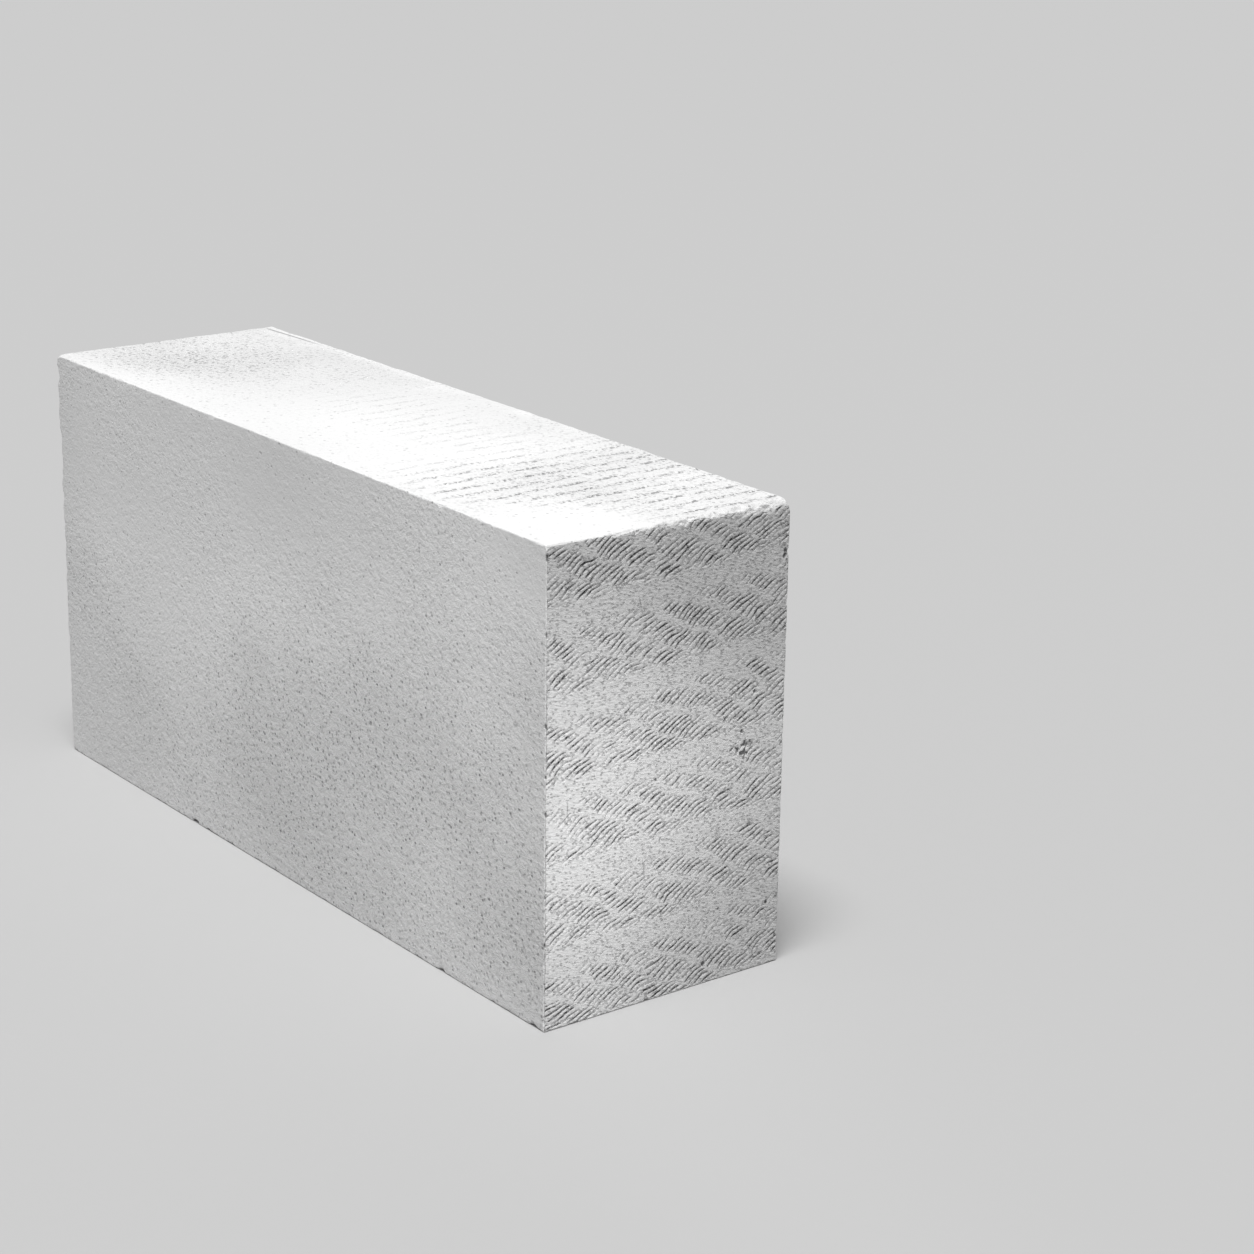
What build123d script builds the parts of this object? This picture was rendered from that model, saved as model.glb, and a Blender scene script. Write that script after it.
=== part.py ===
"""Aerated concrete building block, sawn on all six faces.

One solid, in millimetres. It stands on its lower bed face as it would in a wall.
+X runs along the length, +Y through the wall's thickness and +Z up.
The origin is the middle of the lower bed face.
"""
import os
from math import sqrt

from build123d import *

# The sawn block
block_length = 600.0
block_thickness = 180.0
block_height = 300.0

# A freshly sawn arris is sharp, with a small round from handling
sawn_arris_radius = 1.0

# Rubbed arrises: how far each face is rubbed back from the arris, at one end and at the other
near_end_top_rub_front = 1.6
near_end_top_rub_middle = 3.2
near_end_top_rub_back = 7.0
back_top_rub = 3.4
far_end_top_rub = 3.2
far_end_front_rub_bottom = 2.4
far_end_front_rub_top = 4.6

# A rub is nearly a quarter round: its middle goes this share of its width into the block
rub_bulge = 0.36

# Knocked corners: how far along its three arrises each corner is rounded
near_front_top_knock = 4.0
near_back_top_knock = 7.5
near_front_bottom_knock = 4.0
near_back_bottom_knock = 3.0
far_front_top_knock = 10.0
far_back_top_knock = 3.5
far_front_bottom_knock = 8.0

# How far a cutting shape stands clear of the faces that it starts from
clearance = 4.0

# Ends of the arrises, in the block's own directions
near_end = block_length / 2
far_end = -block_length / 2
front = -block_thickness / 2
back = block_thickness / 2
bottom = 0.0
top = block_height

# Chips along the arrises: distance in from the near end, length of the chip, depth of the bite
front_top_chips = [(51.0, 7.0, 1.3), (107.0, 9.0, 1.6), (131.0, 6.0, 1.2), (374.0, 5.0, 1.0)]
front_bottom_chips = [(11.0, 9.0, 2.2), (53.0, 6.0, 1.2), (108.0, 9.0, 2.2), (397.0, 7.0, 1.7), (415.0, 8.0, 3.0)]

# Chips along the near end's arrises: distance up or in from the front, length, depth of the bite
near_end_top_chips = [(49.0, 14.0, 2.6), (64.0, 7.0, 2.6)]
near_end_bottom_chips = [(24.0, 7.0, 1.4), (77.0, 6.0, 1.6)]
near_end_back_chips = [(267.0, 5.0, 2.2)]
near_end_front_chips = [
    (31.0, 3.0, 0.8),
    (56.0, 4.0, 1.0),
    (86.0, 3.5, 0.9),
    (138.0, 5.0, 1.2),
    (161.0, 3.0, 1.0),
    (192.0, 6.0, 1.0),
    (248.0, 8.0, 0.8),
]

# Blowholes that the saw opened in the near end, most of them in one shallow torn hollow:
# distance in from the front, height, radius, depth
near_end_blowholes = [
    (148.5, 147.8, 5.6, 0.5),
    (142.7, 149.0, 1.3, 1.1),
    (143.9, 146.8, 1.3, 1.1),
    (146.3, 145.4, 1.5, 1.3),
    (149.0, 145.7, 1.2, 1.0),
    (147.2, 150.3, 1.2, 1.0),
    (151.4, 150.4, 1.4, 1.2),
    (153.6, 151.6, 1.4, 1.2),
    (154.4, 148.7, 1.1, 0.9),
    (176.2, 264.7, 1.5, 1.3),
]


def rubbed_arris(start, stations):
    """Cutter for a rubbed arris.

    The start plane is square to the arris, with the block in its -X, -Y quarter.
    Each station is a distance along the plane's normal and the width rubbed off there.
    """
    with BuildPart() as cutter:
        for distance, width in stations:
            with BuildSketch(start.offset(distance)):
                with BuildLine():
                    ThreePointArc((-width, 0), (-width * rub_bulge, -width * rub_bulge), (0, -width))
                    Polyline((0, -width), (clearance, -width), (clearance, clearance), (-width, clearance), (-width, 0))
                make_face()
        loft()
    return cutter.part


def knocked_corner(x, y, z, reach):
    """Cutter for a knocked corner, a cube at the corner less a ball.

    The ball just touches the three arrises at the reach, so each face ends in a corner of that radius.
    """
    inward_x = -1 if x > 0 else 1
    inward_y = -1 if y > 0 else 1
    inward_z = -1 if z > block_height / 2 else 1
    side = reach + clearance
    shift = (reach - clearance) / 2
    with BuildPart() as cutter:
        with Locations((x + inward_x * shift, y + inward_y * shift, z + inward_z * shift)):
            Box(side, side, side)
        with Locations((x + inward_x * reach, y + inward_y * reach, z + inward_z * reach)):
            Sphere(reach * sqrt(2), mode=Mode.SUBTRACT)
    return cutter.part


def chip_centre(place, outward, length, bite):
    """Centre and radius of the ball that takes a chip of this length and bite off an arris."""
    radius = (length**2 / 4 + bite**2) / (2 * bite)
    return Vector(place) + Vector(outward).normalized() * (radius - bite), radius


# Every chip as the arris point that it is centred on, the way out of the block there, its length and bite
chips = []
for inset, length, bite in front_top_chips:
    chips.append(chip_centre((near_end - inset, front, top), (0, -1, 1), length, bite))
for inset, length, bite in front_bottom_chips:
    chips.append(chip_centre((near_end - inset, front, bottom), (0, -1, -1), length, bite))
for inset, length, bite in near_end_top_chips:
    chips.append(chip_centre((near_end, front + inset, top), (1, 0, 1), length, bite))
for inset, length, bite in near_end_bottom_chips:
    chips.append(chip_centre((near_end, front + inset, bottom), (1, 0, -1), length, bite))
for rise, length, bite in near_end_back_chips:
    chips.append(chip_centre((near_end, back, bottom + rise), (1, 1, 0), length, bite))
for rise, length, bite in near_end_front_chips:
    chips.append(chip_centre((near_end, front, bottom + rise), (1, -1, 0), length, bite))
for inset, rise, hole_radius, depth in near_end_blowholes:
    chips.append(chip_centre((near_end, front + inset, bottom + rise), (1, 0, 0), 2 * hole_radius, depth))

# The start planes of the rubbed arrises, each looking along its arris
near_end_top_start = Plane(origin=(near_end, back, top), x_dir=(1, 0, 0), z_dir=(0, -1, 0))
back_top_start = Plane(origin=(far_end, back, top), x_dir=(0, 1, 0), z_dir=(1, 0, 0))
far_end_top_start = Plane(origin=(far_end, front, top), x_dir=(-1, 0, 0), z_dir=(0, 1, 0))
far_end_front_start = Plane(origin=(far_end, front, top), x_dir=(0, -1, 0), z_dir=(0, 0, -1))

near_end_top_rub = rubbed_arris(
    near_end_top_start,
    [
        (-clearance, near_end_top_rub_back),
        (block_thickness / 2, near_end_top_rub_middle),
        (block_thickness + clearance, near_end_top_rub_front),
    ],
)
back_top_rub_cutter = rubbed_arris(
    back_top_start,
    [(-clearance, back_top_rub), (block_length + clearance, back_top_rub)],
)
far_end_top_rub_cutter = rubbed_arris(
    far_end_top_start,
    [(-clearance, far_end_top_rub), (block_thickness + clearance, far_end_top_rub)],
)
far_end_front_rub_cutter = rubbed_arris(
    far_end_front_start,
    [(-clearance, far_end_front_rub_top), (block_height + clearance, far_end_front_rub_bottom)],
)

knocks = [
    (near_end, front, top, near_front_top_knock),
    (near_end, back, top, near_back_top_knock),
    (near_end, front, bottom, near_front_bottom_knock),
    (near_end, back, bottom, near_back_bottom_knock),
    (far_end, front, top, far_front_top_knock),
    (far_end, back, top, far_back_top_knock),
    (far_end, front, bottom, far_front_bottom_knock),
]

with BuildPart() as block:
    # The block as the wires leave it
    with BuildSketch():
        Rectangle(block_length, block_thickness)
    extrude(amount=block_height)
    fillet(block.edges(), radius=sawn_arris_radius)
    # Wear from handling
    add(near_end_top_rub, mode=Mode.SUBTRACT)
    add(back_top_rub_cutter, mode=Mode.SUBTRACT)
    add(far_end_top_rub_cutter, mode=Mode.SUBTRACT)
    add(far_end_front_rub_cutter, mode=Mode.SUBTRACT)
    for x, y, z, reach in knocks:
        add(knocked_corner(x, y, z, reach), mode=Mode.SUBTRACT)
    # Chips and open blowholes
    for centre, radius in chips:
        with Locations(centre):
            Sphere(radius, mode=Mode.SUBTRACT)

block.part.label = "block"

os.makedirs("parts", exist_ok=True)
export_step(block.part, "parts/block.step")
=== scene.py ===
"""Looks of the aerated concrete block: its sawn skin with cut marks, blowholes, worn arrises and chips."""
import math
from functools import partial

import bpy
import numpy as np
from mathutils import Matrix, Quaternion, Vector


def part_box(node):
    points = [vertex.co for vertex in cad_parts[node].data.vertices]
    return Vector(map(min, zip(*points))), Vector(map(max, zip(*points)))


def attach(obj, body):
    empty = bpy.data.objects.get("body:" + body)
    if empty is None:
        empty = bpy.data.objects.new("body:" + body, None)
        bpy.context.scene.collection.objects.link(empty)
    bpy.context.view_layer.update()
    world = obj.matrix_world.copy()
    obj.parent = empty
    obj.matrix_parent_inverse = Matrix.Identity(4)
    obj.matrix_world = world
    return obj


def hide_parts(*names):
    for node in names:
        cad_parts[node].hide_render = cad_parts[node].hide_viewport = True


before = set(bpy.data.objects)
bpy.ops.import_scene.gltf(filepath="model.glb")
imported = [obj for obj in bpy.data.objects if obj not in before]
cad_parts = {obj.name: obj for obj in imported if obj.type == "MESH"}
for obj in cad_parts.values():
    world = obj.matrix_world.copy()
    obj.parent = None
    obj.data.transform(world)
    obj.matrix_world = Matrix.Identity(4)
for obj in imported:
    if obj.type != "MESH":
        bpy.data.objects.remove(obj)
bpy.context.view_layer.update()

# Sizes are in millimetres, in the block's own directions: +X along the length, +Y to the back, +Z up
MM = 0.001
LOW, HIGH = (np.array(corner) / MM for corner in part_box("block"))
HALF = (HIGH - LOW) / 2
MIDDLE = (HIGH + LOW) / 2
NEAR, FRONT, BACK, BOTTOM, TOP = HIGH[0], LOW[1], HIGH[1], LOW[2], HIGH[2]

# The lattice that the skin is worked out on: its step along X, Y and Z, finer towards the arrises.
# Along X it is finer too near the end where the wire lines show.
LATTICE_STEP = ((3.2, 0.41, 0.41))
WIRE_ZONE_STEP = 1.4
WIRE_ZONE = 190.0
EDGE_STEP = 0.3
EDGE_GROWTH = 0.3
LINE_SAMPLES = 20001
# How many triangles are kept of it. The near end shows most, so its marks count for this much more
KEPT_TRIANGLES = 196000
NEAR_END_SHARE = 2.2
NEAR_END_DEPTH = 8.0

# Arrises: the sharp round that the wire leaves, and how unevenly it crumbles
SAWN_ARRIS = 1.0
ARRIS_CRUMBLE = 1.2
# Rubbed arrises, as the radius of the round at the ends of the arris, and how uneven the rub is
NEAR_TOP_RUB_FRONT = 1.6
NEAR_TOP_RUB_BACK = 6.2
BACK_TOP_RUB = 3.4
FAR_TOP_RUB = 3.4
FAR_FRONT_RUB_TOP = 6.0
FAR_FRONT_RUB_BOTTOM = 2.5
RUB_UNEVENNESS = 0.45
# A rub eases off between its radius and this many times its radius from its arris
RUB_END = 1.35
# The rubs are even within the second of these distances of the near back top corner, and as uneven as
# elsewhere past the first
EVEN_CORNER = (14, 7)
# Knocked corners: the side that each is on along X, Y and Z (+1 or -1), and how far along its arrises
# it is rounded
KNOCKED_CORNERS = [
    ((1, -1, 1), 3.0),
    ((1, 1, 1), 3.0),
    ((1, -1, -1), 4.0),
    ((1, 1, -1), 3.0),
    ((-1, -1, 1), 12.0),
    ((-1, 1, 1), 3.5),
    ((-1, -1, -1), 8.0),
]
# The largest part of a point's way out is above FLAT on the flat of a side, and below TURNED on an arris
TURNED, FLAT = 0.88, 0.985


def ease(low, high, x):
    """Goes smoothly from 0 at low to 1 at high: the cubic 3t2 - 2t3 of the share t of the way between."""
    t = np.clip((x - low) / (high - low), 0, 1)
    return t * t * (3 - 2 * t)


def shuffled(*whole_numbers, seed=0):
    """A random-looking number from 0 to 1 for each cell: its whole numbers are mixed as 64-bit integers."""
    mixed = np.full(np.broadcast(*whole_numbers).shape, 0x9E3779B9 + 7919 * seed, np.uint64)
    for step, number in enumerate(whole_numbers):
        cell = np.asarray(number).astype(np.int64).astype(np.uint64)
        mixed ^= cell * np.uint64(0x9E3779B97F4A7C15 + 2 * step)
        mixed ^= mixed >> np.uint64(29)
        mixed *= np.uint64(0xBF58476D1CE4E5B9)
        mixed ^= mixed >> np.uint64(32)
    return (mixed >> np.uint64(11)).astype(np.float64) / 2**53


def smooth_noise(size, *coordinates, seed=0):
    """Value noise from -1 to 1: random values at the corners of cells of this size, eased between them."""
    scaled = [np.asarray(c) / size for c in coordinates]
    cells = [np.floor(s).astype(np.int64) for s in scaled]
    parts = [ease(0, 1, s - c) for s, c in zip(scaled, cells)]
    total = 0.0
    for corner in np.ndindex(*(2,) * len(cells)):
        weight = 1.0
        for part, side in zip(parts, corner):
            weight = weight * (part if side else 1 - part)
        total = total + weight * shuffled(*(c + side for c, side in zip(cells, corner)), seed=seed)
    return 2 * total - 1


def wandering(value, u, v, seed, waves):
    """Adds waves of noise over u and v to a value, each of its own height, size and part of the seed."""
    for height, size, own in waves:
        value = value + height * smooth_noise(size, u, v, seed=seed + own)
    return value


def graded_line(length, step, fine_from, fine_step):
    """Places from 0 to length: the count of local steps is summed along the line and shared out evenly."""
    along = np.linspace(0, length, LINE_SAMPLES)
    plain = np.where(along > fine_from, min(step, fine_step), step)
    local = np.minimum(plain, EDGE_STEP + EDGE_GROWTH * np.minimum(along, length - along))
    count = np.concatenate([[0.0], np.cumsum(np.diff(along) / (local[1:] + local[:-1]) * 2)])
    return np.interp(np.linspace(0, count[-1], round(count[-1]) + 1), count, along)


def box_lattice():
    """A closed lattice over the six faces of the sharp block.

    Each face is a grid of whole-number places. Places shared by two or three faces are one point.
    Returns the points from the middle of the block, and the quads facing outwards.
    """
    lines = [
        graded_line(2 * half, step, 2 * half - WIRE_ZONE, WIRE_ZONE_STEP) - half
        for half, step in zip(HALF, LATTICE_STEP)
    ]
    counts = np.array([len(line) for line in lines])
    places, quads, start = [], [], 0
    for axis in range(3):
        across, along = (axis + 1) % 3, (axis + 2) % 3
        a, b = np.meshgrid(np.arange(counts[across]), np.arange(counts[along]), indexing="ij")
        for side in (0, 1):
            place = np.zeros(a.shape + (3,), np.int64)
            place[..., axis] = side * (counts[axis] - 1)
            place[..., across] = a
            place[..., along] = b
            number = start + np.arange(a.size).reshape(a.shape)
            ring = [number[:-1, :-1], number[1:, :-1], number[1:, 1:], number[:-1, 1:]]
            quad = np.stack(ring, -1).reshape(-1, 4)
            places.append(place.reshape(-1, 3))
            quads.append(quad if side else quad[:, ::-1])
            start += a.size
    places = np.concatenate(places)
    key = (places[:, 0] * counts[1] + places[:, 1]) * counts[2] + places[:, 2]
    _, first, same = np.unique(key, return_index=True, return_inverse=True)
    points = np.stack([line[place] for line, place in zip(lines, places[first].T)], -1)
    return points, same.ravel()[np.concatenate(quads)]


def arris_round(points):
    """Radii of the round at each point, along X, Y and Z: the widest of the sawn, crumbled and rubbed ones.

    A rub widens the round across its own arris only, over the places within its radius of that arris.
    It eases off over the next third, so it ends sharply where the arris runs out through a face.
    """
    x, y, z = points.T
    crumble = smooth_noise(5.0, x, y, z, seed=3) + 0.7 * smooth_noise(2.1, x, y, z, seed=4)
    sawn = SAWN_ARRIS + ARRIS_CRUMBLE * np.clip(crumble - 0.1, 0, None)
    radii = np.stack([sawn, sawn, sawn], axis=1)
    along_y, along_z = ease(-HALF[1], HALF[1], y), ease(-HALF[2], HALF[2], z)
    near_rub = NEAR_TOP_RUB_FRONT + (NEAR_TOP_RUB_BACK - NEAR_TOP_RUB_FRONT) * along_y
    far_rub = FAR_FRONT_RUB_BOTTOM + (FAR_FRONT_RUB_TOP - FAR_FRONT_RUB_BOTTOM) * along_z
    lumps = smooth_noise(9.0, x, y, z, seed=8) + 0.6 * smooth_noise(2.6, x, y, z, seed=9)
    near, far, top = HALF[0] - x, HALF[0] + x, HALF[2] - z
    back, front = HALF[1] - y, HALF[1] + y
    corner = ease(*EVEN_CORNER, near) * ease(*EVEN_CORNER, top) * ease(*EVEN_CORNER, back)
    uneven = 1 + RUB_UNEVENNESS * lumps * (1 - corner)
    # Each rub's distances from the two faces of its arris, its radius, and the axes across it
    rubs = (
        (near, top, near_rub, (0, 2)),
        (back, top, BACK_TOP_RUB, (1, 2)),
        (far, top, FAR_TOP_RUB, (0, 2)),
        (far, front, far_rub, (0, 1)),
    )
    for first, second, rub, axes in rubs:
        radius = SAWN_ARRIS + (rub - SAWN_ARRIS) * uneven
        widened = radius * ease(RUB_END * radius, radius, first) * ease(RUB_END * radius, radius, second)
        for axis in axes:
            radii[:, axis] = np.maximum(radii[:, axis], widened)
    return radii


def rounded(points, radii):
    """Rounds the block: a point goes to the inner box, smaller by the radii, and out onto their ellipsoid.

    A point inside the inner box goes out through the nearest face. Returns the rounded points
    and the ways out of the block there, square to the ellipsoid.
    """
    inner = HALF - radii
    core = np.clip(points, -inner, inner)
    share = (points - core) / radii
    length = np.linalg.norm(share, axis=1)
    deep = np.flatnonzero(length < 1e-6)
    axis = (np.abs(points[deep]) - HALF).argmax(axis=1)
    share[deep, axis] = np.sign(points[deep, axis])
    core[deep, axis] = share[deep, axis] * inner[deep, axis]
    length[deep] = 1
    share /= length[:, None]
    out = share / radii
    return core + radii * share, out / np.linalg.norm(out, axis=1)[:, None]


def on_arris(out):
    """How far a point's way out is from straight: 0 on the faces and 1 on the arrises' rounds."""
    return ease(FLAT, TURNED, np.abs(out).max(axis=1))


def corner_knocks(points):
    """Depth that the knocked corners lose: past a ball that touches the corner's three arrises."""
    depth = np.zeros(len(points))
    for sides, reach in KNOCKED_CORNERS:
        away = points * sides - (HALF - reach)
        close = np.flatnonzero((away > 0).all(axis=1))
        depth[close] = np.linalg.norm(away[close], axis=1) - math.sqrt(2) * reach
    return np.maximum(depth, 0)


def ball_cut(points, out, centre, radius):
    """How far each point goes into the block to leave a ball: the root of the line and ball equation."""
    away = points - centre
    along = (away * out).sum(-1)
    inside = radius**2 - (away**2).sum(-1)
    return np.where(inside > 0, along + np.sqrt(np.maximum(inside + along**2, 0)), 0.0)


def blowholes(points, out, cell, largest, deepest, seed):
    """Bubbles that the wire cut open: a ball of random size and place in each cell of a cubic lattice."""
    depth = np.zeros(len(points))
    home = np.floor(points / cell - 0.5).astype(np.int64)
    for step in np.ndindex(2, 2, 2):
        at = home + np.array(step)
        shift = np.stack([shuffled(*at.T, seed=seed + k) for k in range(3)], -1)
        radius = largest * (0.45 + 0.55 * shuffled(*at.T, seed=seed + 3) ** 2)
        depth = np.maximum(depth, ball_cut(points, out, (at + 0.25 + 0.5 * shift) * cell, radius))
    return np.minimum(depth, deepest)


# Cut marks on the ends. Bands of grooves rise gently across the end, and in each band short
# grooves lean one way in strips that lean the other, as a feathered wire leaves them.
BAND_PITCH = 52.8
BAND_HEIGHT = 33.0
BAND_HEIGHT_RANGE = 4.0
BAND_SPREAD = 0.035
BAND_RISE = 0.075
FIRST_BAND = 3.4
BAND_LEAD = 5.0
STRIP_PITCH = 17.6
STRIP_START = 28.0
STRIP_SHIFT_RANGE = 9.0
STRIP_LEAN = math.radians(31)
GROOVE_LEAN = math.radians(29)
GROOVE_SPACING = 3.7
GROOVE_DEPTH = 1.2
GROOVE_BOW = 0.017
GROOVE_TURN = 0.06
# Half the length of a groove at the head of its band, and how much longer it is at the foot
GROOVE_HALF_LENGTH = 4.8
GROOVE_LENGTHENING = 4.4
# How bands, strips and grooves wander: height, size and part of the seed of each wave
BAND_WAVES = ((2.5, 30.0, 0),)
STRIP_WAVES = ((2.6, 17.0, 3), (0.9, 6.0, 6))
GROOVE_WAVES = ((1.3, 12.0, 4), (0.55, 4.6, 5))
# Groove and lip, as half the groove's width, and the lip's height, place in half widths and width
GROOVE_HALF_WIDTH = 0.80
LIP_HEIGHT, LIP_PLACE, LIP_WIDTH = 0.40, 1.35, 0.45


def groove_field(u, v, seed):
    """Where a point at u across and v down an end lies among the grooves.

    Returns its place across the grooves, which lie at whole multiples of their spacing, how
    strongly they are cut there, and how near it is to the foot of its band. The strips are
    cells across the grooves, and in each the grooves taper to both ends and bend to an arc.
    """
    drop = wandering(v + BAND_RISE * u - FIRST_BAND, u, v, seed, BAND_WAVES)
    band = np.floor((drop + BAND_LEAD) / BAND_PITCH)
    below = drop - band * BAND_PITCH
    height = BAND_HEIGHT + BAND_SPREAD * u + BAND_HEIGHT_RANGE * (shuffled(band, seed=seed + 1) - 0.5)
    share = np.clip(below / height, 0, 1)
    side = u - STRIP_START + STRIP_SHIFT_RANGE * (shuffled(band, seed=seed + 2) - 0.5)
    along = side * math.sin(STRIP_LEAN) - below * math.cos(STRIP_LEAN)
    along = wandering(along / math.sin(STRIP_LEAN + GROOVE_LEAN), u, v, seed, STRIP_WAVES)
    strip = np.round(along / STRIP_PITCH)
    along = along - strip * STRIP_PITCH
    across = side * math.sin(GROOVE_LEAN) + below * math.cos(GROOVE_LEAN)
    across = across + GROOVE_SPACING * shuffled(strip, band, seed=seed + 12)
    across = wandering(across, u, v, seed, GROOVE_WAVES)
    across = across - GROOVE_BOW * along**2 - GROOVE_TURN * along
    own = smooth_noise(1.0, across / GROOVE_SPACING, along / 8.0 + 5.0 * strip, seed=seed + 13)
    uneven = 1 + 0.3 * own + 0.2 * smooth_noise(5.0, u, v, seed=seed + 7)
    half_length = (GROOVE_HALF_LENGTH + GROOVE_LENGTHENING * share) * uneven
    taper = np.sqrt(np.clip(1 - (along / half_length) ** 2, 0, 1))
    zone = ease(-BAND_LEAD, 4.0, below) * ease(height + 4, height - 2, below)
    patch = np.clip(0.74 + 0.5 * smooth_noise(13.0, u, v, seed=seed + 8) + 0.5 * own, 0.08, 1.4)
    foot = ease(height - 8, height - 2, below) * ease(height + 8, height + 1, below)
    return across, zone * patch * taper, foot


def cut_marks(u, v, seed):
    """Depth of the cut marks: a parabola across each groove, between bell-shaped lips of torn concrete."""
    across, strength, _ = groove_field(u, v, seed)
    off = np.abs(across - np.round(across / GROOVE_SPACING) * GROOVE_SPACING)
    half_width = GROOVE_HALF_WIDTH * (1 + 0.3 * smooth_noise(2.6, u, v, seed=seed + 10))
    groove = GROOVE_DEPTH * strength * np.clip(1 - (off / half_width) ** 2, 0, 1)
    lip = LIP_HEIGHT * strength * np.exp(-(((off - LIP_PLACE * half_width) / LIP_WIDTH) ** 2))
    return groove - lip


# Thin tears where the wire turned: the pitch of their lattice, their slant, and half their size
TEAR_LONG, TEAR_HIGH = 9.0, 3.2
TEAR_SLANT = -0.12
TEAR_HALF_LONG, TEAR_HALF_HIGH = 3.6, 0.55
TEAR_DEPTH = 0.8


def tears(u, v, seed):
    """How deep the tears are, from 0 to 1: a slanting ellipse in some cells of a brick lattice."""
    lifted = v - TEAR_SLANT * u
    deepest = np.zeros(np.shape(u))
    for row_step, column_step in np.ndindex(3, 3):
        row = np.floor(lifted / TEAR_HIGH) + row_step - 1
        shift = shuffled(row, seed=seed)
        column = np.floor(u / TEAR_LONG + shift) + column_step - 1
        lot = [shuffled(row, column, seed=seed + 1 + k) for k in range(4)]
        b = u - (column + 0.2 + 0.6 * lot[0] - shift) * TEAR_LONG
        a = lifted - (row + 0.2 + 0.6 * lot[1]) * TEAR_HIGH - 0.25 * (lot[3] - 0.5) * b
        half_high, half_long = TEAR_HALF_HIGH * (0.7 + 0.6 * lot[2]), TEAR_HALF_LONG * (0.5 + lot[3])
        shape = 1 - (a / half_high) ** 2 - (b / half_long) ** 2
        deepest = np.maximum(deepest, np.clip(shape, 0, 1) * (0.4 + 0.6 * lot[2]) * (lot[3] < 0.6))
    return deepest


# Wire lines on the bed faces, straight across the block
WIRE_PITCH = 14.8
WIRE_SHIFT = 3.5
WIRE_WIDTH = 4.2
WIRE_DEPTH = 0.32
WIRE_WAVES = ((1.2, 60.0, 0), (0.6, 9.0, 3))


def wire_lines(u, v, seed):
    """Depth of the wire lines at u from the near end and v across the bed.

    Each line is a shallow parabola that wanders a little and fades in and out, strongest near the end.
    """
    place = wandering(u + WIRE_SHIFT, u, v, seed, WIRE_WAVES)
    line = np.round(place / WIRE_PITCH)
    off = place - line * WIRE_PITCH
    fading = 0.35 + 0.65 * ease(-0.3, 0.5, smooth_noise(40.0, line * 97.0, v, seed=seed + 1))
    shown = fading * wire_reach(u, v)
    rough = np.clip(0.75 + 0.6 * smooth_noise(3.0, u, v, seed=seed + 2), 0.1, 1.4)
    return WIRE_DEPTH * shown * rough * np.clip(1 - (off / (WIRE_WIDTH / 2)) ** 2, 0, 1)


def wire_reach(u, v):
    """How strongly the wire lines show: most near the end, and a little in the middle of the block.

    Each stretch eases in and out over a range of u or v. Towards the end the lines start further in
    from the front, which leaves the near front corner bare.
    """
    near = ease(230, 130, u) * ease(0, 1, (v + 4) / 30 - 2.7 * ease(120, 20, u))
    middle = 0.32 * ease(410, 340, u) * ease(60, 85, v) * ease(155, 125, v)
    return np.maximum(near, middle) * ease(2, 10, u)


# Chips along the arrises: distance in from the near end, length of the chip, depth of the bite
FRONT_TOP_CHIPS = [(51.0, 7.0, 1.3), (107.0, 9.0, 1.6), (131.0, 6.0, 1.2), (374.0, 5.0, 1.0)]
FRONT_BOTTOM_CHIPS = [
    (11.0, 9.0, 2.2),
    (53.0, 6.0, 1.2),
    (108.0, 9.0, 2.2),
    (397.0, 7.0, 1.7),
    (415.0, 8.0, 3.0),
]
# Chips along the near end's arrises: distance up or in from the front, length, depth of the bite
NEAR_TOP_CHIPS = [(49.0, 14.0, 2.6), (64.0, 7.0, 2.6)]
NEAR_BOTTOM_CHIPS = [(24.0, 7.0, 1.4), (77.0, 6.0, 1.6)]
NEAR_BACK_CHIPS = [(267.0, 5.0, 1.3)]
NEAR_FRONT_CHIPS = [
    (31.0, 3.0, 0.8),
    (56.0, 4.0, 1.0),
    (86.0, 3.5, 0.9),
    (138.0, 5.0, 1.2),
    (161.0, 3.0, 1.0),
    (192.0, 6.0, 1.0),
    (248.0, 8.0, 0.8),
    (292.8, 6.0, 1.3),
]
# The notch at the near front top corner: its length down the arris and depth
CORNER_NOTCH = (9.0, 2.0)
# Blowholes in the near end, most of them in one torn cluster: distance in from the front, height,
# radius and depth
NEAR_BLOWHOLES = [
    (148.5, 147.8, 5.6, 0.5),
    (142.7, 149.0, 1.3, 1.1),
    (143.9, 146.8, 1.3, 1.1),
    (146.3, 145.4, 1.5, 1.3),
    (149.0, 145.7, 1.2, 1.0),
    (147.2, 150.3, 1.2, 1.0),
    (151.4, 150.4, 1.4, 1.2),
    (153.6, 151.6, 1.4, 1.2),
    (154.4, 148.7, 1.1, 0.9),
    (176.2, 264.7, 1.5, 1.3),
]
# More of them beside these, which the solid does without
SMALL_BLOWHOLES = [
    (177.3, 268.4, 1.8, 1.6),
    (177.0, 265.4, 1.7, 1.5),
    (147.1, 142.8, 1.0, 0.9),
    (158.7, 149.9, 0.9, 0.8),
    (160.0, 146.1, 0.9, 0.8),
    (155.7, 144.5, 1.0, 0.8),
    (153.0, 143.4, 0.9, 0.8),
    (176.6, 271.3, 0.9, 0.8),
]
# The vertical arrises' chips get painted shade inside, as the bubbles do, and go this much deeper than on
# the solid
NICK_EXTRA = 0.5
# Unlisted blowholes, one in each cell of a lattice: the cell's size, and the largest radius and depth
BLOWHOLE_CELL, LARGEST_BLOWHOLE, DEEPEST_BLOWHOLE = 24.0, 1.7, 1.5


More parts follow.
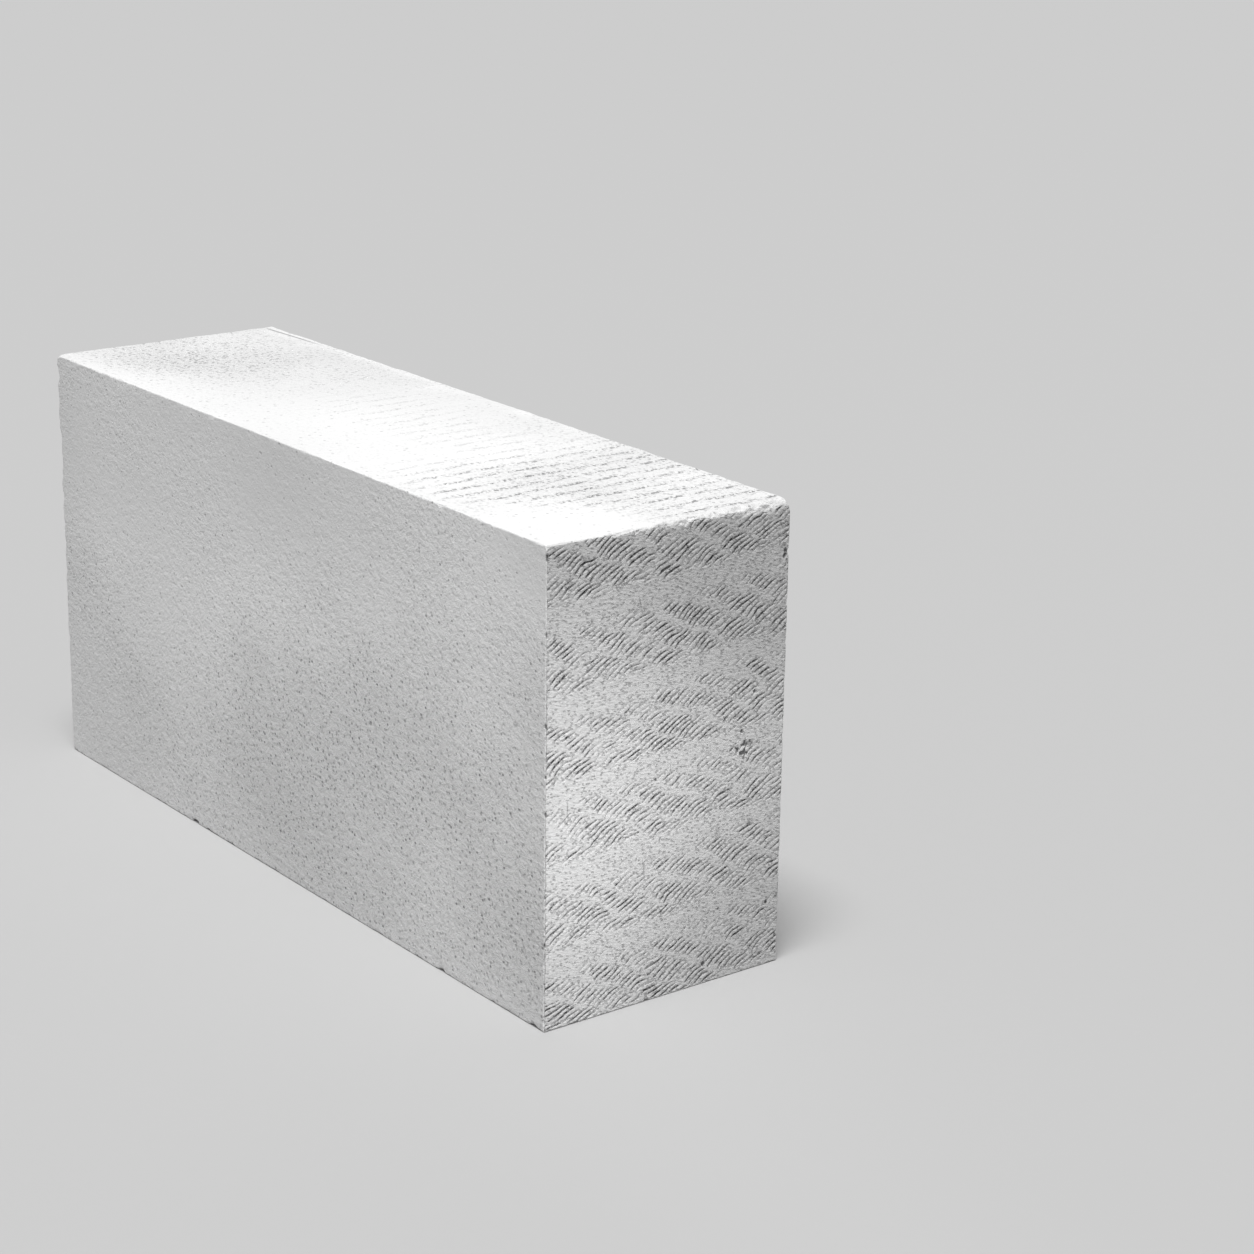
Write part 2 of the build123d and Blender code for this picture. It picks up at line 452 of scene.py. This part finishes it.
def cutting_balls(places, way, deeper=0.0):
    """Balls that take bites of a given length and depth: each bite's middle lies a depth inside its ball.

    A ball's radius follows from half the length and the depth, as chord and rise of an arc.
    """
    way = np.array(way) / np.linalg.norm(way)
    balls = []
    for *place, length, bite in places:
        bite += deeper
        radius = (length**2 / 4 + bite**2) / (2 * bite)
        balls.append((np.array(place) + way * (radius - bite) - MIDDLE, radius))
    return balls


CHIP_BALLS = (
    cutting_balls([(NEAR - s, FRONT, TOP, *size) for s, *size in FRONT_TOP_CHIPS], (0, -1, 1))
    + cutting_balls([(NEAR - s, FRONT, BOTTOM, *size) for s, *size in FRONT_BOTTOM_CHIPS], (0, -1, -1))
    + cutting_balls([(NEAR, FRONT + s, TOP, *size) for s, *size in NEAR_TOP_CHIPS], (1, 0, 1))
    + cutting_balls([(NEAR, FRONT + s, BOTTOM, *size) for s, *size in NEAR_BOTTOM_CHIPS], (1, 0, -1))
    + cutting_balls([(NEAR, FRONT, TOP, *CORNER_NOTCH)], (1, -1, 0.3))
)
BLOWHOLES = NEAR_BLOWHOLES + SMALL_BLOWHOLES
BLOWHOLE_BALLS = cutting_balls(
    [(NEAR, FRONT + s, BOTTOM + up, 2 * hole, bite) for s, up, hole, bite in BLOWHOLES], (1, 0, 0)
)
NICK_BALLS = cutting_balls(
    [(NEAR, FRONT, BOTTOM + s, *size) for s, *size in NEAR_FRONT_CHIPS], (1, -1, 0), NICK_EXTRA
) + cutting_balls([(NEAR, BACK, BOTTOM + s, *size) for s, *size in NEAR_BACK_CHIPS], (1, 1, 0), NICK_EXTRA)


def ball_cuts(points, out, balls):
    """Depth of the bites: each ball's cut, with the ball's radius made uneven by fine noise."""
    depth = np.zeros(len(points))
    for centre, radius in balls:
        close = np.flatnonzero(((points - centre) ** 2).sum(axis=1) < (1.3 * radius) ** 2)
        uneven = radius * (1 + 0.06 * smooth_noise(1.8, *points[close].T, seed=11))
        depth[close] = np.maximum(depth[close], ball_cut(points[close], out[close], centre, uneven))
    return depth


def face_places(points, axis, side):
    """Places as across and down an end (axis 0), or from the near end and the front of a bed (axis 2)."""
    if axis == 0:
        return HALF[1] + side * points[:, 1], HALF[2] - points[:, 2]
    return HALF[0] - points[:, 0], HALF[1] + points[:, 1]


# The sides that carry marks: axis, side of it and seed
END_SIDES = ((0, 1, 100), (0, -1, 200))
BED_SIDES = ((2, 1, 300), (2, -1, 400))


def on_side(out, axis, side):
    """The points on a side, and how fully they are on it: 1 on the flat, fading to 0 at the arris."""
    facing = out[:, axis] * side
    on = np.flatnonzero(facing > TURNED)
    return on, ease(TURNED, FLAT, facing[on])


def bubbles_and_tears(points, out):
    """Depth of the cut bubbles and of the tears at the feet of the bands, which also sets the painted shade
    inside them.
    """
    depth = ball_cuts(points, out, BLOWHOLE_BALLS)
    for axis, side, seed in END_SIDES:
        on, share = on_side(out, axis, side)
        u, v = face_places(points[on], axis, side)
        torn = TEAR_DEPTH * groove_field(u, v, seed)[2] * tears(u, v + BAND_RISE * u, seed + 20)
        holes = blowholes(
            points[on], out[on], BLOWHOLE_CELL, LARGEST_BLOWHOLE, DEEPEST_BLOWHOLE, seed + 50
        )
        depth[on] = np.maximum(depth[on], share * np.maximum(torn, holes))
    return depth


def arris_nicks(points, out):
    """Depth of the nicks in the arrises, looked for only within a few millimetres of one."""
    depth = np.zeros(len(points))
    beside = np.flatnonzero(np.sort(HALF - np.abs(points), axis=1)[:, 1] < 5.0)
    depth[beside] = ball_cuts(points[beside], out[beside], NICK_BALLS)
    return depth


def wire_marks(points, out):
    """Depth of the wire's marks: each side's own, by the way out at each point."""
    depth = np.zeros(len(points))
    for sides, marks in ((END_SIDES, cut_marks), (BED_SIDES, wire_lines)):
        for axis, side, seed in sides:
            on, share = on_side(out, axis, side)
            depth[on] = share * marks(*face_places(points[on], axis, side), seed)
    return depth


def relief(points, out):
    """Depth of everything that is gone below the plain rounded block.

    The faces have slight waves. The rub along the near end's top is lumpy, but not at its two corners.
    """
    x, y, z = points.T
    waves = 0.16 + 0.10 * smooth_noise(60.0, x, y, z, seed=6) + 0.04 * smooth_noise(18.0, x, y, z, seed=7)
    lumps = 0.3 + 1.0 * smooth_noise(5.4, x, y, z, seed=12) + 0.5 * smooth_noise(2.0, x, y, z, seed=13)
    rub = on_arris(out) * ease(12, 6, HALF[0] - x) * ease(12, 6, HALF[2] - z)
    waves += rub * ease(20, 100, HALF[1] + y) * ease(4, 12, HALF[1] - y) * np.clip(lumps, 0, None)
    depth = waves + np.maximum(wire_marks(points, out), bubbles_and_tears(points, out))
    bites = np.maximum(ball_cuts(points, out, CHIP_BALLS), arris_nicks(points, out))
    return np.maximum(np.maximum(depth, bites), corner_knocks(points))


def drawn_out(x, factor):
    """Draws the millimetres before the near end out or back in: x past their start is scaled from there."""
    start = HALF[0] - NEAR_END_DEPTH
    return np.where(x > start, start + (x - start) * factor, x)


def block_skin():
    """The block's skin: the lattice rounded, cut down by the relief and thinned where it is flat."""
    points, quads = box_lattice()
    points, out = rounded(points, arris_round(points))
    points = points - out * relief(points, out)[:, None]
    # The lips of grooves at the lower arrises don't reach below the floor that the block stands on
    points[:, 2] = np.maximum(points[:, 2], -HALF[2])
    points[:, 0] = drawn_out(points[:, 0], NEAR_END_SHARE)
    mesh = bpy.data.meshes.new("lattice")
    mesh.vertices.add(len(points))
    mesh.vertices.foreach_set("co", points.astype(np.float32).ravel())
    mesh.loops.add(quads.size)
    mesh.loops.foreach_set("vertex_index", quads.astype(np.int32).ravel())
    mesh.polygons.add(len(quads))
    mesh.polygons.foreach_set("loop_start", np.arange(0, quads.size, 4, dtype=np.int32))
    mesh.update(calc_edges=True)
    rough = bpy.data.objects.new("lattice", mesh)
    bpy.context.scene.collection.objects.link(rough)
    thin = rough.modifiers.new("thin", "DECIMATE")
    thin.ratio = KEPT_TRIANGLES / (2 * len(quads))
    finished = rough.evaluated_get(bpy.context.evaluated_depsgraph_get())
    thinned = bpy.data.meshes.new_from_object(finished)
    bpy.data.objects.remove(rough)
    bpy.data.meshes.remove(mesh)
    kept = np.empty(3 * len(thinned.vertices), np.float32)
    thinned.vertices.foreach_get("co", kept)
    kept = kept.reshape(-1, 3).astype(np.float64)
    kept[:, 0] = drawn_out(kept[:, 0], 1 / NEAR_END_SHARE)
    thinned.vertices.foreach_set("co", ((kept + MIDDLE) * MM).astype(np.float32).ravel())
    thinned.update()
    thinned.name = "block_skin"
    skin = bpy.data.objects.new("block_skin", thinned)
    bpy.context.scene.collection.objects.link(skin)
    return skin, kept


def soft_patches(points, patches):
    """Sum of soft round patches, each with its middle, radius and strength, as bells of the distance."""
    total = np.zeros(len(points))
    for middle, radius, strength in patches:
        total += strength * np.exp(-((points - np.array(middle)) ** 2).sum(axis=1) / radius**2)
    return total


# How porous the concrete is in general, and where it is more or less so: middle (from the block's own
# middle), radius and strength
POROSITY = 0.44
POROUS_PATCHES = [
    ((90, -90, -60), 110, 0.45),
    ((260, -90, -90), 80, 0.35),
    ((-30, -90, -30), 80, 0.5),
    ((-240, -30, 150), 60, 0.45),
    ((-200, -90, 100), 130, -0.25),
    ((220, 40, 150), 100, -0.02),
    ((20, -60, 150), 120, -0.5),
    ((290, -70, 150), 50, -0.5),
]
# Painted light and shade on the ends, a pale pool at their lower front and darker towards their top and
# back, and where the other faces are paler or darker
END_PAINTED_LIGHT_PATCHES = [
    ((300, 80, 130), 90, -0.75),
    ((300, -80, -20), 90, 0.6),
    ((300, 90, -120), 90, -0.4),
    ((300, -90, 150), 40, -0.3),
    ((300, 15, -120), 55, -0.3),
]
FACE_TONE_PATCHES = [
    ((-20, -90, -10), 80, 0.35),
    ((200, -90, -20), 120, 0.35),
    ((120, -90, -5), 90, 0.3),
    ((200, 5, 150), 85, 0.4),
    ((-240, -5, 150), 60, 0.3),
    ((-210, 100, 165), 60, -0.45),
    ((0, 90, 165), 85, -0.35),
]
# The tone is 0 at the darker and 1 at the paler of the material's two greys, and goes a little past 1
# where it is palest. It varies about the plain tone, and the beds are paler, and so are the arrises,
# partly as rubbed wear and partly as a painted highlight on their rounds
PLAIN_TONE, TONE_RANGE = 0.45, 0.24
BED_TONE = 0.4
ARRIS_TONE = 0.6
PALEST = 1.06
# A painted highlight along the back arris of the top, where its round would catch light from behind, over
# this width at the far end and from the middle on
BACK_HIGHLIGHT_FAR, BACK_HIGHLIGHT_MIDDLE = 7.5, 3.0
BACK_HIGHLIGHT_TONE = 0.5
POROUS_TONE = 0.28
# How much more painted shade a nick gets than a bubble of the same depth
NICK_SHADE = 1.5


def mark_surface(skin, points):
    """Stores on the skin what the material reads there.

    hollow is the depth of bubbles, tears and nicks, which the material darkens as painted shade,
    groove_line the place across the grooves, and groove_cut how strongly they are cut. end and bed
    are 1 on those sides. porous, tone and wire say where there are more bubbles, where it is paler
    and where the wire lines show. tone also holds painted light and shade: patches on the ends, and
    highlights on the arrises and along the back of the top.
    """
    plain, out = rounded(points, arris_round(points))
    x, y, z = plain.T
    end, bed = ease(TURNED, FLAT, np.abs(out[:, 0])), ease(TURNED, FLAT, np.abs(out[:, 2]))
    porous = POROSITY + 0.22 * smooth_noise(90.0, x, y, z, seed=40)
    porous = porous + 0.10 * smooth_noise(32.0, x, y, z, seed=42) + soft_patches(plain, POROUS_PATCHES)
    tone = PLAIN_TONE + TONE_RANGE * smooth_noise(110.0, x, y, z, seed=41) + BED_TONE * bed
    # The arrises are paler, partly as rubbed wear and partly as a painted highlight on their rounds
    tone += ARRIS_TONE * on_arris(out) * (0.5 + 1.3 * smooth_noise(4.0, x, y, z, seed=43))
    # Painted light and shade on the ends: a pale pool at their lower front and darker towards their top and
    # back
    tone += end * soft_patches(plain, END_PAINTED_LIGHT_PATCHES) + (1 - end) * soft_patches(plain, FACE_TONE_PATCHES)
    # More bubbles would darken the long faces in clouds, which the real one doesn't show
    tone += POROUS_TONE * (1 - end) * (1 - bed) * np.clip(porous, 0, 1)
    # A painted highlight along the back of the top, where the round of its back arris would catch light
    # from behind
    highlight_width = BACK_HIGHLIGHT_FAR + (BACK_HIGHLIGHT_MIDDLE - BACK_HIGHLIGHT_FAR) * ease(-HALF[0], 0, x)
    tone += BACK_HIGHLIGHT_TONE * bed * (z > 0) * ease(highlight_width + 1, highlight_width - 1, HALF[1] - y)
    marks = {
        # The depth that sets the painted shade in bubbles, tears and nicks
        "hollow": np.maximum(bubbles_and_tears(plain, out), NICK_SHADE * arris_nicks(plain, out)),
        "groove_line": np.zeros(len(points)),
        "groove_cut": np.zeros(len(points)),
        "end": end,
        "bed": bed,
        "porous": porous,
        "tone": np.clip(tone, 0, PALEST),
        "wire": wire_reach(HALF[0] - x, HALF[1] + y),
    }
    for axis, side, seed in END_SIDES:
        on, share = on_side(out, axis, side)
        across, strength, _ = groove_field(*face_places(plain[on], axis, side), seed)
        marks["groove_line"][on] = across
        marks["groove_cut"][on] = share * strength
    for name, values in marks.items():
        stored = skin.data.attributes.new(name, "FLOAT", "POINT")
        stored.data.foreach_set("value", values.astype(np.float32))


def shade_by_area(mesh, points):
    """Smooths the shading with each point's normal the sum of its triangles' cross products.

    A cross product is twice the triangle's area along its way out, so large flat triangles
    outweigh the small ones of a hole beside them, and stay flat to the eye.
    """
    mesh.calc_loop_triangles()
    corners = np.empty(3 * len(mesh.loop_triangles), np.int32)
    mesh.loop_triangles.foreach_get("vertices", corners)
    corners = corners.reshape(-1, 3)
    first, second, third = (points[corners[:, k]] for k in range(3))
    crosses = np.cross(second - first, third - first)
    sums = [
        sum(np.bincount(corners[:, k], crosses[:, axis], len(points)) for k in range(3))
        for axis in range(3)
    ]
    normals = np.stack(sums, -1)
    normals /= np.linalg.norm(normals, axis=1)[:, None]
    mesh.shade_smooth()
    mesh.normals_split_custom_set_from_vertices(normals.astype(np.float32))


# The sheet that the skin is laid out on: for each way out the lowest corner of its rectangle and its scale.
# The ends are drawn larger, for their fine marks.
SHEET = 1000.0
SHEET_PLACES = {
    (1, -1): (8, 8, 1.0),
    (1, 1): (8, 316, 1.0),
    (2, -1): (8, 624, 1.0),
    (2, 1): (8, 812, 1.0),
    (0, -1): (624, 8, 1.6),
    (0, 1): (624, 500, 1.6),
}


def lay_out(mesh, points):
    """Maps the mesh onto six flat rectangles, one a side, by the largest part of each face's normal."""
    count = len(mesh.polygons)
    normals = np.empty(3 * count, np.float32)
    mesh.polygons.foreach_get("normal", normals)
    normals = normals.reshape(-1, 3)
    totals = np.empty(count, np.int32)
    mesh.polygons.foreach_get("loop_total", totals)
    largest = np.abs(normals).argmax(axis=1)
    axis = np.repeat(largest, totals)
    side = np.repeat(np.sign(normals[np.arange(count), largest]).astype(int), totals)
    corner = np.empty(len(mesh.loops), np.int32)
    mesh.loops.foreach_get("vertex_index", corner)
    at = points[corner] + HALF
    flat = np.zeros((len(corner), 2))
    for (way, sign), (left, low, scale) in SHEET_PLACES.items():
        across, up = [k for k in range(3) if k != way]
        on = (axis == way) & (side == sign)
        flat[on, 0] = (left + at[on, across] * scale) / SHEET
        flat[on, 1] = (low + at[on, up] * scale) / SHEET
    mesh.uv_layers.new(name="OFBake").uv.foreach_set("vector", flat.astype(np.float32).ravel())


def linear(hex_colour):
    """An sRGB hex colour as linear red, green, blue and alpha."""
    parts = [int(hex_colour[k : k + 2], 16) / 255 for k in (1, 3, 5)]
    return tuple(p / 12.92 if p <= 0.04045 else ((p + 0.055) / 1.055) ** 2.4 for p in parts) + (1.0,)


def node(tree, kind, settings=None, inputs=(), output=0):
    """Adds a node and returns one of its outputs.

    The inputs are a row of values, or values by name or number. A value may be another node's output.
    """
    made = tree.nodes.new("ShaderNode" + kind)
    for name, value in (settings or {}).items():
        setattr(made, name, value)
    for name, value in inputs.items() if isinstance(inputs, dict) else enumerate(inputs):
        if isinstance(value, bpy.types.NodeSocket):
            tree.links.new(value, made.inputs[name])
        else:
            made.inputs[name].default_value = value
    return made.outputs[output]


# Settings of the nodes that work on numbers
SUM = {"operation": "ADD"}
LESS = {"operation": "SUBTRACT"}
TIMES = {"operation": "MULTIPLY"}
LARGER = {"operation": "MAXIMUM"}
SIZE_OF = {"operation": "ABSOLUTE"}
TO_NEAREST_LINE = {"operation": "PINGPONG"}
SMOOTH = {"interpolation_type": "SMOOTHSTEP"}
# A shallow scrape along the back of the top, from near the far end, which is not in the relief: only its
# shade is painted, as a dark line. Its distance from the back arris, its slant, and the stretches over
# which it starts, ends and fades to its sides
SCRAPE_PLACE, SCRAPE_SLANT = 8.8, 0.035
SCRAPE_START, SCRAPE_END = (4.0, 14.0), (50.0, 92.0)
SCRAPE_EDGE = (0.8, 2.4)
# The greys of the concrete, from its darker to its paler places, and the grey of the painted shade at the
# bottoms of its hollows
DARKER_GREY, PALER_GREY, PAINTED_SHADE_GREY = "#cecece", "#f0f0f0", "#666668"


def sawn_aerated_concrete():
    """Aerated concrete sawn by wire: a chalky, matt, pale grey full of cut bubbles, with painted shade in
    its hollows.
    """
    material = bpy.data.materials.new("sawn_aerated_concrete")
    material.use_nodes = True
    tree = material.node_tree
    tree.nodes.clear()
    add = partial(node, tree)
    place = add("TexCoord", output="Object")
    along_x, along_y, along_z = add("SeparateXYZ", None, (place,)).node.outputs
    hollow, end, bed, porous, tone, wire, groove_line, groove_cut = (
        add("Attribute", {"attribute_name": name}, output="Fac")
        for name in ("hollow", "end", "bed", "porous", "tone", "wire", "groove_line", "groove_cut")
    )

    def grain(size, detail=2.0, roughness=0.5, where=place):
        """Inputs of a noise whose cells have this size in millimetres."""
        return {"Vector": where, "Scale": 1 / (size * MM), "Detail": detail, "Roughness": roughness}

    def bubbles(cell, low, high, where=place):
        """Cut bubbles as balls at the points of cells: 1 in the middle of a bubble and 0 outside it."""
        away = add("TexVoronoi", None, {"Vector": where, "Scale": 1 / (cell * MM)})
        return add("MapRange", SMOOTH, (away, low, high, 1.0, 0.0))

    def stretched(turn, long, high):
        """Object coordinates turned about X and stretched, so that a pattern runs along the wire's way."""
        turned = add("Mapping", None, {"Vector": place, "Rotation": (turn, 0, 0)})
        return add("Mapping", None, {"Vector": turned, "Scale": (1, 1 / long, 1 / high)})

    # Faces: dense shallow bubbles of 1 to 1.5 mm, and a few deep ones of 2 mm with painted shade in them
    density = add("MapRange", SMOOTH, (porous, 0.1, 1.1, 0.12, 1.1))
    shallow = add("Math", TIMES, (bubbles(3.7, 0.12, 0.36), density))
    deep_share = add("MapRange", SMOOTH, (porous, 0.2, 0.9, 0.4, 1.0))
    deep_few = add("Math", TIMES, (bubbles(7.0, 0.07, 0.17), deep_share))
    mottling = add("Math", TIMES, (density, 12.5))
    mottled = add("Math", TIMES, (add("TexNoise", None, grain(4.0, 4.0, 0.65)), mottling))
    # Ends: torn skin, in dashes of 4 mm by 0.8 mm that fall to the right, and dots
    along_wire = math.radians(17)
    dashes = bubbles(1.0, 0.16, 0.40, stretched(along_wire, 3.8, 1.6))
    torn = add("TexNoise", None, grain(1.0, 2.0, 0.6, stretched(along_wire, 4.2, 1.6)))
    dots = add("Math", LARGER, (bubbles(3.4, 0.10, 0.23), bubbles(6.5, 0.08, 0.15)))
    # Grooves, finer than the skin's points can hold them: floors in beads, sunk and with painted shade, and
    # raised lips that catch the light
    ragged = add("Math", TIMES, (add("Math", LESS, (add("TexNoise", None, grain(2.2)), 0.5)), 1.5))
    to_line = add("Math", TO_NEAREST_LINE, (groove_line, GROOVE_SPACING / 2))
    off_groove = add("Math", SUM, (to_line, ragged))
    beads = add("MapRange", SMOOTH, (add("TexNoise", None, grain(2.0, 2.0, 0.6)), 0.38, 0.62, 0.2, 1.3))
    in_groove = add("MapRange", SMOOTH, (off_groove, 0.15, 0.80, 1.0, 0.0))
    floor = add("Math", TIMES, (in_groove, add("Math", TIMES, (groove_cut, beads))))
    lips = add("Math", TIMES, (add("MapRange", SMOOTH, (off_groove, 0.60, 1.05, 0.0, 1.0)), groove_cut))
    # Beds: rows of marks where the wire dwelt, at the wire lines, broken into dots and dashes by noise;
    # they are sunk and darkened by their depth, as the pits are
    from_near = add("Math", LESS, ((NEAR + WIRE_SHIFT) * MM, along_x))
    sway = add("Math", LESS, (add("TexNoise", None, grain(28, 3.0, 0.6)), 0.5))
    swaying = add("Math", SUM, (from_near, add("Math", TIMES, (sway, 12 * MM))))
    off_line = add("Math", TO_NEAREST_LINE, (swaying, WIRE_PITCH / 2 * MM))
    on_line = add("MapRange", SMOOTH, (off_line, 0.2 * MM, 3.4 * MM, 1.0, 0.0))
    coarse = add("Math", TIMES, (add("TexNoise", None, grain(11.0)), 0.4))
    breaks = add("Math", SUM, (add("TexNoise", None, grain(2.4, 2.0, 0.6)), coarse))
    broken = add("MapRange", SMOOTH, (breaks, 0.70, 0.82, 0.0, 1.0))
    blots = add("Math", TIMES, (add("Math", TIMES, (on_line, broken)), add("Math", TIMES, (wire, bed))))
    # The scrape's painted shade: a ragged dark line at a slant to the back arris, on the top only
    from_far = add("Math", LESS, (along_x, LOW[0] * MM))
    from_back = add("Math", LESS, (BACK * MM, along_y))
    slanted = add("Math", SUM, (from_back, add("Math", TIMES, (from_far, SCRAPE_SLANT))))
    off_scrape = add("Math", SIZE_OF, (add("Math", LESS, (slanted, SCRAPE_PLACE * MM)),))
    uneven = add("Math", TIMES, (add("TexNoise", None, grain(4.0)), 1.2 * MM))
    starting = add("MapRange", SMOOTH, (from_far, *(d * MM for d in SCRAPE_START), 0.0, 1.0))
    ending = add("MapRange", SMOOTH, (from_far, *(d * MM for d in SCRAPE_END), 1.0, 0.0))
    off_uneven = add("Math", SUM, (off_scrape, uneven))
    across_scrape = add("MapRange", SMOOTH, (off_uneven, *(d * MM for d in SCRAPE_EDGE), 1.0, 0.0))
    shown = add("Math", TIMES, (across_scrape, add("Math", TIMES, (starting, ending))))
    on_top = add("MapRange", SMOOTH, (along_z, MIDDLE[2] * MM, TOP * MM, 0.0, 1.0))
    scrape_shade = add("Math", TIMES, (shown, on_top))
    # Beds are lit from straight above, where relief shows little, so the shade of their bubbles is also
    # painted, as dark specks in the colour
    clouds = add("MapRange", SMOOTH, (add("TexNoise", None, grain(2.6, 4.0, 0.7)), 0.55, 0.68, 0.0, 1.0))
    speckle_shade = add("Math", TIMES, (clouds, add("Math", TIMES, (bed, density))))

    # The height of it all, in half millimetres: pits and groove floors below, roughness and lips above
    face_pits = add("Math", LARGER, (shallow, deep_few))
    end_pits = add("Math", LARGER, (add("Math", TIMES, (dashes, 0.95)), dots))
    pits = add("Math", LARGER, (add("Mix", None, {0: end, 2: face_pits, 3: end_pits}), blots))
    sunk = add("Math", TIMES, (pits, add("Mix", None, {0: end, 2: 1.7, 3: 1.0})))
    end_rough = add("Math", TIMES, (torn, 3.2))
    rough = add("Mix", None, {0: end, 2: mottled, 3: end_rough})
    fine = add("Math", TIMES, (add("TexNoise", None, grain(0.7, 3.0, 0.65)), 0.3))
    raised = add("Math", SUM, (rough, fine))
    grooved = add("Math", LESS, (add("Math", TIMES, (lips, 0.7)), add("Math", TIMES, (floor, 1.5))))
    height = add("Math", LESS, (add("Math", SUM, (raised, grooved)), sunk))
    bump = add("Bump", None, {"Strength": 1.0, "Distance": 0.5 * MM, "Height": height})

    # The colour: palest on the painted highlight along the back of the top and on the arrises, which are
    # partly rubbed and partly painted highlight, and with painted shade, darker the deeper a hollow is
    base = add(
        "Mix",
        {"data_type": "RGBA", "clamp_factor": False},
        {0: tone, 6: linear(DARKER_GREY), 7: linear(PALER_GREY)},
        output=2,
    )
    # Painted shade: the colour goes towards the shade grey the deeper a bubble, tear, nick or groove floor
    # is
    in_hollow = add("MapRange", SMOOTH, (hollow, 0.30, 1.30, 0.0, 0.8))
    on_floor = add("MapRange", SMOOTH, (floor, 0.20, 1.10, 0.0, 0.85))
    # Painted shade in the pits, dashes, dots and wire-line marks, darker the deeper they are, and more so
    # on the beds
    pit_shade = add("Math", TIMES, (pits, add("Mix", None, {0: bed, 2: 0.42, 3: 0.75})))
    # Painted shade of the pits, joined on the beds by the painted specks
    pit_and_speckle_shade = add("Math", LARGER, (pit_shade, add("Math", TIMES, (speckle_shade, 0.22))))
    deep_shade = add("Math", TIMES, (deep_few, add("Mix", None, {0: end, 2: 0.75, 3: 0.0})))
    deepest = add("Math", LARGER, (in_hollow, deep_shade))
    # The scrape's shade is painted here as a dark line
    drawn = add("Math", LARGER, (pit_and_speckle_shade, add("Math", TIMES, (scrape_shade, 0.6))))
    shaded = add("Math", LARGER, (add("Math", LARGER, (deepest, on_floor)), drawn))
    colour = add("Mix", {"data_type": "RGBA"}, {0: shaded, 6: base, 7: linear(PAINTED_SHADE_GREY)}, output=2)

    matt = {"Roughness": 0.92, "IOR": 1.5, "Specular IOR Level": 0.2}
    surface = add("BsdfPrincipled", None, {"Base Color": colour, "Normal": bump, **matt})
    tree.links.new(surface, tree.nodes.new("ShaderNodeOutputMaterial").inputs["Surface"])
    return material


# Studio, in metres: half the floor's width, where the lamps hang and what they are aimed at
FLOOR_REACH = 30.0
FLOOR_GREY = "#bcbcbc"
HIGH_LAMP_PLACE, HIGH_LAMP_AIM = (0.17, -0.20, 1.0), (0.0, 0.0, 0.0)
LOW_LAMP_PLACE, LOW_LAMP_AIM = (1.25, -0.16, 0.12), (0.3, -0.08, 0.11)
# The camera, in millimetres and degrees. It stands where lines through the block's corners in the
# photograph meet, with a point behind the block's middle in the centre of the picture
CAMERA_PLACE = (1573.15, -1014.29, 753.68)
CAMERA_AIM = (72.16, 143.41, 150.0)
CAMERA_ROLL = 0.8533
CAMERA_SENSOR, CAMERA_LENS = 36.0, 83.87


def aimed(place, aim):
    """The turn that points a lamp's or camera's -Z from its place to its aim, with its +Y upwards."""
    return (Vector(aim) - Vector(place)).to_track_quat("-Z", "Y")


def hang_lamp(lamp_data, place, aim):
    """Hangs a lamp at its place, turned to its aim."""
    lamp = bpy.data.objects.new(lamp_data.name, lamp_data)
    lamp.location = place
    lamp.rotation_euler = aimed(place, aim).to_euler()
    bpy.context.scene.collection.objects.link(lamp)


def studio():
    """A plain pale floor, a soft high lamp, a low one, the room's own light and the camera."""
    scene = bpy.context.scene
    scene.view_settings.view_transform = "Standard"
    mesh = bpy.data.meshes.new("floor")
    corners = [(FLOOR_REACH * a, FLOOR_REACH * b, 0) for a, b in ((-1, -1), (1, -1), (1, 1), (-1, 1))]
    mesh.from_pydata(corners, [], [(0, 1, 2, 3)])
    floor = bpy.data.objects.new("floor", mesh)
    scene.collection.objects.link(floor)
    paint = bpy.data.materials.new("pale_floor")
    paint.use_nodes = True
    shader = paint.node_tree.nodes["Principled BSDF"]
    shader.inputs["Base Color"].default_value = linear(FLOOR_GREY)
    shader.inputs["Roughness"].default_value = 0.95
    shader.inputs["Specular IOR Level"].default_value = 0.1
    mesh.materials.append(paint)

    world = bpy.data.worlds.new("studio")
    scene.world = world
    world.use_nodes = True
    background = world.node_tree.nodes["Background"]
    background.inputs["Color"].default_value = linear("#ffffff")
    background.inputs["Strength"].default_value = 0.30

    # A broad soft source almost overhead, a little towards the near end, so that it rakes down the sides
    high = bpy.data.lights.new("high_soft_lamp", "SUN")
    high.angle = math.radians(22)
    high.energy = 3.0
    hang_lamp(high, HIGH_LAMP_PLACE, HIGH_LAMP_AIM)
    # A narrow soft-edged lamp low beyond the near end, which lights its lower left most
    low = bpy.data.lights.new("low_lamp", "SPOT")
    low.spot_size = math.radians(24)
    low.spot_blend = 1.0
    low.shadow_soft_size = 0.06
    low.energy = 9.2
    hang_lamp(low, LOW_LAMP_PLACE, LOW_LAMP_AIM)

    lens = bpy.data.cameras.new("camera")
    lens.sensor_width = CAMERA_SENSOR
    lens.lens = CAMERA_LENS
    camera = bpy.data.objects.new("camera", lens)
    turn = aimed(CAMERA_PLACE, CAMERA_AIM) @ Quaternion((0, 0, 1), math.radians(CAMERA_ROLL))
    camera.matrix_world = Matrix.LocRotScale(Vector(CAMERA_PLACE) * MM, turn, None)
    scene.collection.objects.link(camera)
    scene.camera = camera


skin, skin_points = block_skin()
lay_out(skin.data, skin_points)
mark_surface(skin, skin_points)
shade_by_area(skin.data, skin_points)
skin.data.materials.append(sawn_aerated_concrete())
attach(skin, "root")
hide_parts("block")
studio()
